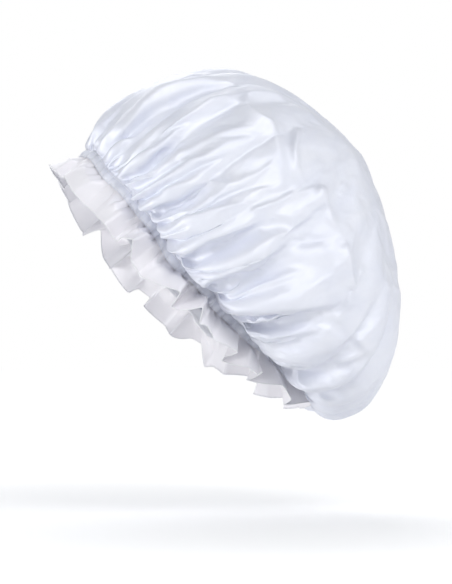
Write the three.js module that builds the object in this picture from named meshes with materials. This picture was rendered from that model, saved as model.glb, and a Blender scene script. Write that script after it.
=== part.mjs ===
// Satin hair bonnet, as worn: a round satin crown gathered onto an elastic band,
// with a frill round the face. Millimetres, +Z up, the wearer faces -Y.
// The origin is the centre of the opening that the head goes into.
import * as THREE from "three";

// Opening, measured inside the casing tape while worn
const OPENING_LENGTH = 234; // forehead to nape
const OPENING_WIDTH = 156; // temple to temple
const OPENING_TILT = 47; // degrees that the opening drops from forehead to nape
const OPENING_DIP = 12; // the sides dip this far towards the face

// Crown, measured from the plane of the opening
const CROWN_HEIGHT = 149;
const CROWN_LENGTH = 306; // front to back at the widest ring
const CROWN_WIDTH = 240; // side to side at the widest ring
const CROWN_SHIFT = 21.5; // the widest ring's centre lies this far behind the opening's
const CROWN_WIDEST = 23; // height of the widest ring
const CROWN_LEAN = 0.15; // drop per millimetre from the front to the back of the top
const CROWN_SAG = 15; // the cloth hangs this far below its arc at the nape
const CROWN_TUCK = 60; // degrees of arc from the widest ring in to the upper seam
const CROWN_WIDEST_SHARE = 0.75; // share of each meridian above the widest ring

// Main folds of the crown. Each valley stands at a share of a turn from the nape, given at the
// upper seam and where it runs out above. These are one side's valleys, from forehead to nape.
const VALLEYS = [
  { seam: 0.541, end: 0.535 },
  { seam: 0.583, end: 0.577 },
  { seam: 0.614, end: 0.612 },
  { seam: 0.656, end: 0.663 },
  { seam: 0.718, end: 0.728 },
  { seam: 0.768, end: 0.761 },
  { seam: 0.805, end: 0.843 },
  { seam: 0.885, end: 0.882 },
  { seam: 0.92, end: 0.917 },
  { seam: 0.965, end: 0.965 },
];
const OTHER_SIDE_SHIFT = 0.008; // the other side mirrors these, turned by this much
const FOLD_DEPTH = 10; // crest to valley where the folds are deepest
const FOLD_START = 0.25; // share of the meridian where the folds begin
const FOLD_DEEPEST = 0.74;
const FOLD_HELD = 0.55; // share of their depth that the seam takes away
const FOLD_SLANT_END = 0.62; // share of the meridian from which a valley runs straight

// Casing: the elastic runs between the crown's edge and a tape on its inside
const SEAM_SPACING = 8; // upper seam to lower seam
const STITCH_INSET = 0.7; // of each row of stitches from the tunnel's edge
const TAPE_WIDTH = 9.5;
const TAPE_THICKNESS = 0.4;
const TAPE_END_GAP = 2; // between the two ends of the tape, at the nape
const ELASTIC_WIDTH = 4.5;
const ELASTIC_THICKNESS = 0.6;
const ELASTIC_LAP = 14; // the elastic's two ends overlap by this much, at the nape
const ELASTIC_LIFT = 16; // stretch in which one end rises over the other

// Frill
const FRILL_WIDTH = 24; // lower seam to hem
const FRILL_ALLOWANCE = 1.2; // held above the lower seam, between crown and tape
const FRILL_FLAT = 1; // held flat below the lower seam, before the flutes open
const FRILL_FLUTES = 31;
const FLUTE_DEPTH = 11;
const FLUTE_DEPTH_FRONT = 6; // over the forehead
const FLUTE_BULGE = 1.5; // each flute's crest spreads this far sideways
const FRILL_FLARE_SIDE = 16; // degrees outwards from the head at the temples
const FRILL_FLARE_FRONT = 2; // over the forehead
const FRILL_FLARE_NAPE = 52; // where the neck turns the frill back

// Cloth, thread and clearance
const CROWN_CLOTH = 0.8; // wall of the solid: the satin with its body
const FRILL_CLOTH = 0.6;
const THREAD_RADIUS = 0.2;
const HEM_RADIUS = 0.6;
const JOIN_ZIGZAGS = 5; // zigzag stitches across the elastic's lap
const CLEARANCE = 0.3;
const FACET_SAG = 0.45; // the crown's wide facets cut inside its curve by up to this much

// Facets
const FOLD_COLUMNS = 3; // columns of facets in each fold
const FLUTE_COLUMNS = 5;
const RING_STEPS = 96;
const THREAD_STEPS = 80;
const THREAD_SIDES = 4;

// Layers of the casing, each given as its distance out from the opening's edge
const LAYER_ELASTIC = TAPE_THICKNESS + CLEARANCE;
const LAYER_LAP = LAYER_ELASTIC + ELASTIC_THICKNESS + CLEARANCE;
const LAYER_JOIN = LAYER_LAP + ELASTIC_THICKNESS + CLEARANCE + THREAD_RADIUS;
const LAYER_TUNNEL = LAYER_JOIN + THREAD_RADIUS + CLEARANCE + FACET_SAG;
const LAYER_FRILL = TAPE_THICKNESS + CLEARANCE;
const LAYER_LOWER_SEAM = LAYER_FRILL + FRILL_CLOTH + CLEARANCE + FACET_SAG;
const LAYER_UPPER_SEAM = TAPE_THICKNESS + CLEARANCE + FACET_SAG;
const TUNNEL_EDGE = (SEAM_SPACING - ELASTIC_WIDTH) / 2 - CLEARANCE;

const TURN = 2 * Math.PI;
const radians = THREE.MathUtils.degToRad;
const lerp = THREE.MathUtils.lerp;

// Eases from 0 to 1 between two values.
function ease(from, to, value) {
  return THREE.MathUtils.smoothstep(value, from, to);
}

// Angle on the opening's ellipse after a share of a turn from the nape, evenly spaced along its edge.
function ellipseAngle(turn) {
  const longest = OPENING_LENGTH / 2;
  const shortest = OPENING_WIDTH / 2;
  const evenness = (longest - shortest) / (2 * (longest + shortest));
  return TURN * turn + evenness * Math.sin(2 * TURN * turn);
}

// Point on the opening's edge, moved out by a layer's distance and along the casing by a height.
function edgePoint(turn, out, height) {
  const angle = ellipseAngle(turn);
  return new THREE.Vector3(
    -(OPENING_WIDTH / 2 + out) * Math.sin(angle),
    (OPENING_LENGTH / 2 + out) * Math.cos(angle),
    height - OPENING_DIP * Math.sin(angle) ** 2,
  );
}

// Length of the opening's edge, by Ramanujan's formula for an ellipse.
function edgeLength() {
  const a = OPENING_LENGTH / 2;
  const b = OPENING_WIDTH / 2;
  return Math.PI * (3 * (a + b) - Math.sqrt((3 * a + b) * (a + 3 * b)));
}

// A surface built from rings of points, each joined to the next.
class Surface {
  positions = [];
  faces = [];

  ring(points) {
    return points.map((p) => this.positions.push(p.x, p.y, p.z) / 3 - 1);
  }

  // Joins two open or closed rings. One of them may have twice the points of the other.
  // The two faces of a cloth are split along the same diagonals: one of them is joined in reverse.
  bridge(a, b, closed = true, reverse = false) {
    const spans = Math.min(a.length, b.length) - (closed ? 0 : 1);
    const at = (ring, i) => ring[i % ring.length];
    for (let i = 0; i < spans; i++) {
      if (a.length === b.length && reverse) {
        this.faces.push(a[i], b[i], at(a, i + 1), at(a, i + 1), b[i], at(b, i + 1));
      } else if (a.length === b.length) {
        this.faces.push(a[i], b[i], at(b, i + 1), a[i], at(b, i + 1), at(a, i + 1));
      } else if (a.length < b.length) {
        const middle = b[2 * i + 1];
        this.faces.push(a[i], b[2 * i], middle, a[i], middle, at(a, i + 1));
        this.faces.push(at(a, i + 1), middle, at(b, 2 * i + 2));
      } else {
        const middle = a[2 * i + 1];
        this.faces.push(a[2 * i], b[i], middle, middle, b[i], at(b, i + 1));
        this.faces.push(middle, at(b, i + 1), at(a, 2 * i + 2));
      }
    }
  }

  // Closes a ring with a fan of faces round its first point or round a tip of its own.
  fan(ring, tip) {
    if (tip === undefined) {
      for (let i = 1; i + 1 < ring.length; i++) this.faces.push(ring[0], ring[i], ring[i + 1]);
    } else {
      ring.forEach((p, i) => this.faces.push(tip, p, ring[(i + 1) % ring.length]));
    }
  }

  geometry() {
    const made = new THREE.BufferGeometry();
    made.setAttribute("position", new THREE.Float32BufferAttribute(this.positions, 3));
    made.setIndex(this.faces);
    made.computeVertexNormals();
    return made;
  }
}

// A band round the opening. Each corner of its section is a function of the turn; a closed
// band runs all the way round, and an open one has an end face at each of its two ends.
// The first half of the corners are on the band's outer face, the rest on its inner face.
function bandGeometry(corners, turns, closed) {
  const surface = new Surface();
  const rings = corners.map((corner) => surface.ring(turns.map(corner)));
  rings.forEach((ring, i) => {
    surface.bridge(ring, rings[(i + 1) % rings.length], closed, i >= rings.length / 2);
  });
  if (!closed) {
    surface.fan(rings.map((ring) => ring[0]).reverse());
    surface.fan(rings.map((ring) => ring[ring.length - 1]));
  }
  return surface.geometry();
}

function closedTurns(steps) {
  return Array.from({ length: steps }, (_, i) => i / steps);
}

function openTurns(from, to, steps) {
  return Array.from({ length: steps + 1 }, (_, i) => lerp(from, to, i / steps));
}

// A flat strip between two heights of the casing, whose inner face lies at a layer.
function stripCorners(layerAt, thickness, top, bottom) {
  return [
    (turn) => edgePoint(turn, layerAt(turn) + thickness, top),
    (turn) => edgePoint(turn, layerAt(turn) + thickness, bottom),
    (turn) => edgePoint(turn, layerAt(turn), bottom),
    (turn) => edgePoint(turn, layerAt(turn), top),
  ];
}

// A round thread along a line that is a function of the turn.
function threadCorners(line, radius) {
  return Array.from({ length: THREAD_SIDES }, (_, i) => {
    const angle = (TURN * (i + 0.5)) / THREAD_SIDES;
    return (turn) => {
      const centre = line(turn);
      const outward = new THREE.Vector3(centre.x, centre.y, 0).normalize();
      return centre
        .addScaledVector(outward, radius * Math.cos(angle))
        .add(new THREE.Vector3(0, 0, -radius * Math.sin(angle)));
    };
  });
}

// All valleys round the crown, numbered from the nape.
const ALL_VALLEYS = [
  ...VALLEYS.map(({ seam, end }) => ({
    seam: 1 - seam - OTHER_SIDE_SHIFT,
    end: 1 - end - OTHER_SIDE_SHIFT,
  })).reverse(),
  ...VALLEYS,
];

// Where a fold stands round the crown: at whole numbers in a valley, between them on a crest.
function foldTurn(fold, meridian) {
  const straight = 1 - ease(FOLD_SLANT_END, 1, meridian);
  const valleyTurn = (number) => {
    const rounds = Math.floor(number / ALL_VALLEYS.length);
    const { seam, end } = ALL_VALLEYS[number - rounds * ALL_VALLEYS.length];
    return rounds + lerp(seam, end, straight);
  };
  const valley = Math.floor(fold);
  return lerp(valleyTurn(valley), valleyTurn(valley + 1), fold - valley);
}

// A row of rounded swells with a sharp crease between each two of them.
function swell(fold) {
  return Math.sin(Math.PI * (fold - Math.floor(fold))) ** 0.7 - 0.6;
}

// The crown's smooth form. A meridian runs from 0 at the top to 1 at the upper seam.
function crownForm(turn, meridian, out) {
  const angle = ellipseAngle(turn);
  const side = -(CROWN_WIDTH / 2) * Math.sin(angle);
  const back = CROWN_SHIFT + (CROWN_LENGTH / 2) * Math.cos(angle);
  if (meridian < CROWN_WIDEST_SHARE) {
    const arc = (Math.PI / 2) * (meridian / CROWN_WIDEST_SHARE);
    const y = lerp(CROWN_SHIFT, back, Math.sin(arc));
    const height = lerp(CROWN_WIDEST, CROWN_HEIGHT, Math.cos(arc));
    return new THREE.Vector3(
      side * Math.sin(arc),
      y,
      height - CROWN_LEAN * (y - CROWN_SHIFT) * Math.cos(arc),
    );
  }
  const tuck = radians(CROWN_TUCK);
  const share = (meridian - CROWN_WIDEST_SHARE) / (1 - CROWN_WIDEST_SHARE);
  const arc = tuck * share;
  const seam = edgePoint(turn, out, 0);
  const inwards = (1 - Math.cos(arc)) / (1 - Math.cos(tuck));
  const downwards = Math.sin(arc) / Math.sin(tuck);
  const sag = CROWN_SAG * Math.max(0, Math.cos(angle)) ** 2 * Math.sin(Math.PI * share) ** 2;
  return new THREE.Vector3(
    lerp(side, seam.x, inwards),
    lerp(back, seam.y, inwards),
    lerp(CROWN_WIDEST, seam.z, downwards) - sag,
  );
}

// How far the folds lift the cloth off the smooth form.
function crownLift(fold, meridian) {
  const rise = ease(FOLD_START, FOLD_DEEPEST, meridian);
  const held = 1 - FOLD_HELD * ease(FOLD_DEEPEST, 1, meridian);
  return FOLD_DEPTH * rise * held * swell(fold);
}

// Unit normal of a surface given by a function of two values, by small steps in both.
function normalOf(surface, round, down, step) {
  const across = surface(round + step, down).sub(surface(round - step, down));
  const along = surface(round, down + step).sub(surface(round, down - step));
  return along.cross(across).normalize();
}

// The crown's outer face: the smooth form, lifted along its normal.
function crownFace(fold, meridian) {
  const form = (turn, share) => crownForm(turn, share, LAYER_UPPER_SEAM + CROWN_CLOTH);
  const turn = foldTurn(fold, meridian);
  const normal = normalOf(form, turn, meridian, 1e-3);
  return form(turn, meridian).addScaledVector(normal, crownLift(fold, meridian));
}

// A point at a depth in the crown's cloth, below its outer face.
function crownPoint(fold, meridian, depth) {
  const normal = normalOf(crownFace, fold, meridian, 0.02);
  return crownFace(fold, meridian).addScaledVector(normal, -depth);
}

// The crown's edge below the upper seam: the outer wall of the tunnel that the elastic runs in.
const TUNNEL_OUTSIDE = [
  { layer: LAYER_UPPER_SEAM + CROWN_CLOTH, height: 0 },
  { layer: LAYER_TUNNEL + CROWN_CLOTH, height: CROWN_CLOTH / 2 - TUNNEL_EDGE },
  { layer: LAYER_TUNNEL + CROWN_CLOTH, height: TUNNEL_EDGE - CROWN_CLOTH / 2 - SEAM_SPACING },
  { layer: LAYER_LOWER_SEAM + CROWN_CLOTH, height: -SEAM_SPACING },
];
const TUNNEL_INSIDE = [
  { layer: LAYER_UPPER_SEAM, height: CROWN_CLOTH },
  { layer: LAYER_UPPER_SEAM, height: -CROWN_CLOTH / 2 },
  { layer: LAYER_TUNNEL, height: -TUNNEL_EDGE },
  { layer: LAYER_TUNNEL, height: TUNNEL_EDGE - SEAM_SPACING },
  { layer: LAYER_LOWER_SEAM, height: -SEAM_SPACING },
];

// Rings of the crown's dome, each with the number of its columns that one column stands for.
const CROWN_RINGS = [
  { meridian: 0.14, stride: 4 },
  { meridian: 0.31, stride: 2 },
  { meridian: 0.46, stride: 1 },
  { meridian: 0.6, stride: 1 },
  { meridian: 0.74, stride: 1 },
  { meridian: 0.88, stride: 1 },
  { meridian: 0.96, stride: 1 },
];

function crownGeometry() {
  const surface = new Surface();
  const columns = ALL_VALLEYS.length * FOLD_COLUMNS;
  const foldsAt = (stride) =>
    Array.from({ length: columns / stride }, (_, i) => (i * stride) / FOLD_COLUMNS);
  const domeRings = (depth) =>
    CROWN_RINGS.map(({ meridian, stride }) =>
      surface.ring(foldsAt(stride).map((fold) => crownPoint(fold, meridian, depth))),
    );
  const wallRings = (wall) =>
    wall.map(({ layer, height }) =>
      surface.ring(foldsAt(1).map((fold) => edgePoint(foldTurn(fold, 1), layer, height))),
    );
  const top = crownForm(0, 0, 0);
  const [outerTip] = surface.ring([top]);
  const outer = [...domeRings(0), ...wallRings(TUNNEL_OUTSIDE)];
  const inner = [...domeRings(CROWN_CLOTH), ...wallRings(TUNNEL_INSIDE)].reverse();
  const [innerTip] = surface.ring([top.clone().setZ(top.z - CROWN_CLOTH)]);
  const rings = [...outer, ...inner];
  surface.fan(outer[0], outerTip);
  rings.slice(1).forEach((ring, i) => surface.bridge(rings[i], ring, true, i >= outer.length));
  surface.fan([...inner[inner.length - 1]].reverse(), innerTip);
  return surface.geometry();
}

// The frill leaves the lower seam at this angle from the head, in radians.
function frillFlare(turn) {
  const backward = Math.cos(TURN * turn);
  const end = backward > 0 ? FRILL_FLARE_NAPE : FRILL_FLARE_FRONT;
  return radians(lerp(FRILL_FLARE_SIDE, end, backward ** 2));
}

// Middle of the frill's cloth at a flute and a distance below the lower seam.
function frillMiddle(flute, below) {
  const turn = flute / FRILL_FLUTES;
  const root = edgePoint(turn, LAYER_FRILL + FRILL_CLOTH / 2, -SEAM_SPACING);
  const outward = new THREE.Vector3(root.x, root.y, 0).normalize();
  const along = new THREE.Vector3(-outward.y, outward.x, 0);
  const flare = frillFlare(turn);
  const fall = Math.max(0, below - FRILL_FLAT);
  const share = fall / (FRILL_WIDTH - FRILL_FLAT);
  const forward = Math.max(0, -Math.cos(TURN * turn));
  const fullDepth = lerp(FLUTE_DEPTH, FLUTE_DEPTH_FRONT, forward ** 2);
  const depth = fullDepth * share * (1 + 0.25 * Math.sin(7 * TURN * turn));
  const lift = (depth * (1 - Math.cos(TURN * flute))) / 2;
  const bulge = FLUTE_BULGE * share * Math.sin(2 * TURN * flute);
  return root
    .addScaledVector(outward, fall * Math.sin(flare) + lift * Math.cos(flare))
    .addScaledVector(along, bulge)
    .add(new THREE.Vector3(0, 0, -fall * Math.cos(flare) + lift * Math.sin(flare)))
    .add(new THREE.Vector3(0, 0, -Math.min(FRILL_FLAT, below)));
}

// A face of the frill, a distance to the outside of the cloth's middle.
function frillPoint(flute, below, outside) {
  const normal = normalOf(frillMiddle, flute, below, 0.02);
  return frillMiddle(flute, below).addScaledVector(normal, outside);
}

const fluteCount = FRILL_FLUTES * FLUTE_COLUMNS;
const flutes = Array.from({ length: fluteCount }, (_, i) => i / FLUTE_COLUMNS);

function frillGeometry() {
  const face = (below, outside) => (flute) => frillPoint(flute, below, outside * (FRILL_CLOTH / 2));
  const rows = [-FRILL_ALLOWANCE, FRILL_FLAT, FRILL_WIDTH / 2, FRILL_WIDTH];
  const outer = rows.map((below) => face(below, 1));
  const inner = rows.map((below) => face(below, -1)).reverse();
  return bandGeometry([...outer, ...inner], flutes, true);
}

// The overlocked hem: a bead of thread along the frill's lower edge.
function hemGeometry() {
  const fall = FRILL_WIDTH + CLEARANCE + HEM_RADIUS;
  const bead = (along, outside) => (flute) =>
    frillPoint(flute, fall + along * HEM_RADIUS, outside * HEM_RADIUS);
  return bandGeometry([bead(-1, 0), bead(0, 1), bead(1, 0), bead(0, -1)], flutes, true);
}

// The elastic is one strip: its last stretch rises over its first, where the ends are sewn together.
function elasticLayer(turn) {
  const lapTurn = ELASTIC_LAP / edgeLength();
  const liftTurn = ELASTIC_LIFT / edgeLength();
  const start = 1 - lapTurn - liftTurn;
  return lerp(LAYER_ELASTIC, LAYER_LAP, THREE.MathUtils.clamp((turn - start) / liftTurn, 0, 1));
}

const ELASTIC_TOP = (ELASTIC_WIDTH - SEAM_SPACING) / 2;

function elasticGeometry() {
  const lapTurn = ELASTIC_LAP / edgeLength();
  const turns = openTurns(-lapTurn / 2, 1 + lapTurn / 2, RING_STEPS);
  const bottom = ELASTIC_TOP - ELASTIC_WIDTH;
  const corners = stripCorners(elasticLayer, ELASTIC_THICKNESS, ELASTIC_TOP, bottom);
  return bandGeometry(corners, turns, false);
}

// Zigzag thread that sews the elastic's two ends together.
function joinGeometry() {
  const halfTurn = (ELASTIC_LAP / 2 - 2 * CLEARANCE) / edgeLength();
  const reach = ELASTIC_WIDTH / 2 - THREAD_RADIUS - CLEARANCE;
  const middle = -SEAM_SPACING / 2;
  const line = (turn) => {
    const step = ((turn + halfTurn) / (2 * halfTurn)) * 2 * JOIN_ZIGZAGS;
    const side = Math.round(step) % 2 ? 1 : -1;
    return edgePoint(turn, LAYER_JOIN, middle + side * reach);
  };
  const turns = openTurns(-halfTurn, halfTurn, 2 * JOIN_ZIGZAGS);
  return bandGeometry(threadCorners(line, THREAD_RADIUS), turns, false);
}

// The tape that closes the tunnel on the inside. Its ends nearly meet at the nape.
function tapeGeometry() {
  const gapTurn = TAPE_END_GAP / edgeLength();
  const over = (TAPE_WIDTH - SEAM_SPACING) / 2;
  const turns = openTurns(gapTurn / 2, 1 - gapTurn / 2, RING_STEPS);
  const corners = stripCorners(() => 0, TAPE_THICKNESS, over, -SEAM_SPACING - over);
  return bandGeometry(corners, turns, false);
}

// A seam's thread: it lies along the casing at a layer and a height.
function seamGeometry(layer, height) {
  const line = (turn) => edgePoint(turn, layer, height);
  return bandGeometry(threadCorners(line, THREAD_RADIUS), closedTurns(THREAD_STEPS), true);
}

// Materials
function cloth(colour, roughness) {
  return new THREE.MeshStandardMaterial({ color: colour, roughness, metalness: 0 });
}
const satin = cloth(0xeef1f8, 0.32);
const frillSatin = cloth(0xf3f1f6, 0.42);
const ribbon = cloth(0xf1f1f4, 0.55);
const elasticWeave = cloth(0xf4f4f2, 0.8);
const thread = cloth(0xfafafc, 0.6);

// Assembly. The casing's own frame has +Z into the cap and +Y towards the nape.
const bonnet = new THREE.Group();
bonnet.rotation.x = -radians(OPENING_TILT);

function add(name, geometry, material) {
  const mesh = new THREE.Mesh(geometry, material);
  mesh.name = name;
  bonnet.add(mesh);
}

const outsideCrown = LAYER_TUNNEL + CROWN_CLOTH + CLEARANCE + THREAD_RADIUS;
const insideTape = -CLEARANCE - THREAD_RADIUS;
const upperStitches = -TUNNEL_EDGE - STITCH_INSET;
const lowerStitches = TUNNEL_EDGE + STITCH_INSET - SEAM_SPACING;

add("crown", crownGeometry(), satin);
add("frill", frillGeometry(), frillSatin);
add("frill_hem_thread", hemGeometry(), thread);
add("casing_tape", tapeGeometry(), ribbon);
add("elastic_band", elasticGeometry(), elasticWeave);
add("elastic_join_thread", joinGeometry(), thread);
add("upper_seam_needle_thread", seamGeometry(outsideCrown, upperStitches), thread);
add("upper_seam_bobbin_thread", seamGeometry(insideTape, upperStitches), thread);
add("lower_seam_needle_thread", seamGeometry(outsideCrown, lowerStitches), thread);
add("lower_seam_bobbin_thread", seamGeometry(insideTape, lowerStitches), thread);

// A group that is not turned itself, so that its frame is the part's.
const part = new THREE.Group();
part.add(bonnet);

export default part;
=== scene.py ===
import math

import bpy
import numpy as np
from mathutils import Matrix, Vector


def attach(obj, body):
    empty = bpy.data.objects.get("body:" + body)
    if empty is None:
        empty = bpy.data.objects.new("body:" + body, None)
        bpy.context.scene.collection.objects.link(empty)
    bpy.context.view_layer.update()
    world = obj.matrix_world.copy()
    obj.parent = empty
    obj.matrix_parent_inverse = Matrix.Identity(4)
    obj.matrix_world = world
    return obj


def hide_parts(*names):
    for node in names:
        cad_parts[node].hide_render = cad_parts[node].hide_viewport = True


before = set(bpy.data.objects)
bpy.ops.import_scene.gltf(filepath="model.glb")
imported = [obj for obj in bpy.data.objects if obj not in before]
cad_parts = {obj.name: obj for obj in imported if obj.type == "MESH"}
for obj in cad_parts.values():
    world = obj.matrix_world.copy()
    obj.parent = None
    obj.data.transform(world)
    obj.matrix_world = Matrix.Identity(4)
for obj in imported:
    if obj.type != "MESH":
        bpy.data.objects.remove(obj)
scene = bpy.context.scene
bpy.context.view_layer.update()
rng = np.random.default_rng(7)

# Sizes of the part in mm, in the casing's frame: +Y towards the nape, +Z into the cap
MM = 0.001
OPENING_A, OPENING_B, OPENING_DIP, OPENING_TILT = 117.0, 78.0, 12.0, 47.0
CROWN_HEIGHT, CROWN_A, CROWN_B, CROWN_SHIFT = 149.0, 153.0, 120.0, 21.5
CROWN_WIDEST, CROWN_LEAN, CROWN_SAG, CROWN_TUCK, CROWN_SHARE = 23.0, 0.15, 15.0, 60.0, 0.75
SEAM_SPACING, PERIMETER = 8.0, 618.7
UPPER_OUT = 2.2  # the crown at the upper seam, out from the opening's edge
STITCH_OUT = 2.4  # the crown under the stitches
UPPER_STITCHES, LOWER_STITCHES = -1.3, -6.7

# How the worn cloth departs from those sizes
CASING_WAVE = 1.3  # how far the casing strays where the elastic draws it up
CASING_WAVES = [(1.0, 5, 0.6), (0.8, 9, 2.0), (0.7, 14, 4.0)]  # share, count round the casing, phase
CASING_DROOP = 4.0  # how far it droops behind the ears
DROOP_AT, DROOP_WIDTH = 0.5, 0.22  # from 0 at the nape to 1 at the brow
NAPE_CALM = 0.15  # how far from the nape it stays level, in the same way
FRONT_TUCK = 6.0  # how far the crown's front is drawn back over the brow
FRONT_TUCK_SPAN = (0.35, 0.7)  # shares of a meridian between which it sets in
TOP_FULLNESS, TOP_AT, TOP_SPREAD = 5.0, 12.0, 45.0  # how far the hair lifts the crown's top, and where
SIDE_SAG, BROW_SAG = 9.0, 5.0  # how far the crown hangs over the casing
SAG_SKEW = 1.5  # above 1, it hangs most near the casing


def ease(a, b, x):
    x = np.clip((x - a) / (b - a), 0, 1)
    return x * x * (3 - 2 * x)


def ellipse_angle(turn):
    even = (OPENING_A - OPENING_B) / (2 * (OPENING_A + OPENING_B))
    return 2 * np.pi * turn + even * np.sin(4 * np.pi * turn)


def waviness(turn):
    """How far the casing strays up the crown. At the nape, where the elastic is joined, it doesn't."""
    t = 2 * np.pi * turn
    from_nape = np.sin(t / 2)
    wave = sum(size * np.sin(count * t + phase) for size, count, phase in CASING_WAVES)
    droop = np.exp(-((np.abs(from_nape) - DROOP_AT) / DROOP_WIDTH) ** 2)
    return (CASING_WAVE * wave - CASING_DROOP * droop) * (1 - np.exp(-(from_nape / NAPE_CALM) ** 4))


def edge_point(turn, out, height):
    a = ellipse_angle(np.asarray(turn, float))
    return np.stack([-(OPENING_B + out) * np.sin(a), (OPENING_A + out) * np.cos(a),
                     height - OPENING_DIP * np.sin(a) ** 2 + waviness(turn)], -1)


def crown_form(turn, meridian):
    """The crown's smooth form. A meridian runs from 0 at the top to 1 at the upper seam."""
    a = ellipse_angle(turn)
    at_nape, at_brow = np.maximum(0, np.cos(a)) ** 2, np.minimum(0, np.cos(a)) ** 2
    reach = CROWN_A - FRONT_TUCK * at_brow * ease(*FRONT_TUCK_SPAN, meridian)
    side, back = -CROWN_B * np.sin(a), CROWN_SHIFT + reach * np.cos(a)
    arc = np.pi / 2 * np.clip(meridian / CROWN_SHARE, 0, 1)
    y = CROWN_SHIFT + (back - CROWN_SHIFT) * np.sin(arc)
    height = CROWN_WIDEST + (CROWN_HEIGHT - CROWN_WIDEST) * np.cos(arc)
    height = height + TOP_FULLNESS * np.exp(-((y - TOP_AT) / TOP_SPREAD) ** 2) * np.cos(arc) ** 2
    upper = np.stack([side * np.sin(arc), y, height - CROWN_LEAN * (y - CROWN_SHIFT) * np.cos(arc)], -1)
    share = np.clip((meridian - CROWN_SHARE) / (1 - CROWN_SHARE), 0, 1)
    tuck = math.radians(CROWN_TUCK)
    seam = edge_point(turn, UPPER_OUT, 0.0)
    inwards = (1 - np.cos(tuck * share)) / (1 - math.cos(tuck))
    downwards = np.sin(tuck * share) / math.sin(tuck)
    low_hang = np.sin(np.pi * share ** SAG_SKEW) ** 2
    sag = CROWN_SAG * at_nape * np.sin(np.pi * share) ** 2
    sag = sag + SIDE_SAG * np.sin(a) ** 2 * low_hang
    sag = sag + BROW_SAG * at_brow * low_hang
    lower = np.stack([side + (seam[..., 0] - side) * inwards, back + (seam[..., 1] - back) * inwards,
                      CROWN_WIDEST + (seam[..., 2] - CROWN_WIDEST) * downwards - sag], -1)
    return np.where((meridian < CROWN_SHARE)[..., None], upper, lower)


cos, sin = math.cos(math.radians(OPENING_TILT)), math.sin(math.radians(OPENING_TILT))
TILT = np.array([[1, 0, 0], [0, cos, sin], [0, -sin, cos]])


def tilted(points):
    """From the casing's frame to the part's, both in mm."""
    return points @ TILT.T


# Camera, as the photograph was taken
CAMERA_AZIMUTH, CAMERA_DISTANCE, SENSOR = 81.0, 2.2, 24
PIXEL = 0.00078
ORIGIN_PIXEL, FRAME_SIZE = (192.7, 260.4), (452, 584)
az = math.radians(CAMERA_AZIMUTH)
RIGHT, LOOK = np.array([math.cos(az), math.sin(az), 0]), np.array([-math.sin(az), math.cos(az), 0])
UP = np.array([0.0, 0.0, 1.0])
AIM = (RIGHT * (FRAME_SIZE[0] / 2 - ORIGIN_PIXEL[0]) * PIXEL
       - UP * (FRAME_SIZE[1] / 2 - ORIGIN_PIXEL[1]) * PIXEL)
EYE = AIM - LOOK * CAMERA_DISTANCE
camera = bpy.data.objects.new("camera", bpy.data.cameras.new("camera"))
scene.collection.objects.link(camera)
camera.location = EYE
camera.rotation_euler = Vector(LOOK).to_track_quat("-Z", "Y").to_euler()
camera.data.sensor_fit = "VERTICAL"
camera.data.sensor_height = SENSOR
camera.data.sensor_width = SENSOR
camera.data.lens = SENSOR * CAMERA_DISTANCE / (FRAME_SIZE[1] * PIXEL)
scene.camera = camera


def pixels(points):
    """Where points of the part, in mm, fall in the photograph."""
    rel = points * MM - EYE
    scale = CAMERA_DISTANCE / PIXEL / (rel @ LOOK)
    return np.stack([FRAME_SIZE[0] / 2 + rel @ RIGHT * scale, FRAME_SIZE[1] / 2 - rel @ UP * scale], -1)


# Meshes
TINY = 1e-12


def length(v):
    return np.linalg.norm(v, axis=-1)


def unit(v):
    return v / np.maximum(length(v), TINY)[..., None]


def mesh_object(name, points, faces):
    """A smooth-shaded mesh from points in mm."""
    mesh = bpy.data.meshes.new(name)
    mesh.from_pydata((np.asarray(points) * MM).tolist(), [], [tuple(int(i) for i in f) for f in faces])
    mesh.validate()
    mesh.shade_smooth()
    made = bpy.data.objects.new(name, mesh)
    scene.collection.objects.link(made)
    return made


def add_piece(name, node, points, faces, places):
    """A piece in place of a node, with its flat places, in mm, as texture coordinates."""
    made = mesh_object(name, points, faces)
    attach(made, "root")
    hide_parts(node)
    layer = made.data.uv_layers.new(name="cloth")
    corners = np.zeros(len(made.data.loops), np.int32)
    made.data.loops.foreach_get("vertex_index", corners)
    layer.data.foreach_set("uv", places[corners, :2].astype(np.float32).ravel())
    return made


def row_numbers(rows, columns, first=0):
    """Numbers of the points of rows that follow each other."""
    return [first + i * columns + np.arange(columns) for i in range(len(rows))]


def strip_faces(a, b):
    """Triangles between two closed rows of points."""
    c, d = np.roll(a, -1), np.roll(b, -1)
    return np.concatenate([np.stack([a, b, d], 1), np.stack([a, d, c], 1)])


def rows_faces(index):
    """Triangles between a series of closed rows."""
    return np.concatenate([strip_faces(a, b) for a, b in zip(index[:-1], index[1:])])


def sides_of(faces):
    """The two ends of each side of each triangle."""
    return np.concatenate([faces[:, [0, 1]], faces[:, [1, 2]], faces[:, [2, 0]]])


def neighbours(faces):
    """Points and their neighbours, each pair both ways round."""
    sides = sides_of(faces)
    return np.concatenate([sides, sides[:, ::-1]]).T


def mean_around(here, values):
    """The mean at each point of the values of its pairs."""
    return np.bincount(here, values) / np.bincount(here)


def mean_place(pairs, places):
    """The mean place of each point's neighbours."""
    here, there = pairs
    return np.stack([mean_around(here, places[there, i]) for i in range(3)], 1)


def normals_of(points, faces):
    a, b, c = (points[faces[:, i]] for i in range(3))
    each = np.cross(b - a, c - a)
    total = np.zeros_like(points)
    for i in range(3):
        np.add.at(total, faces[:, i], each)
    return unit(total)


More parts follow.
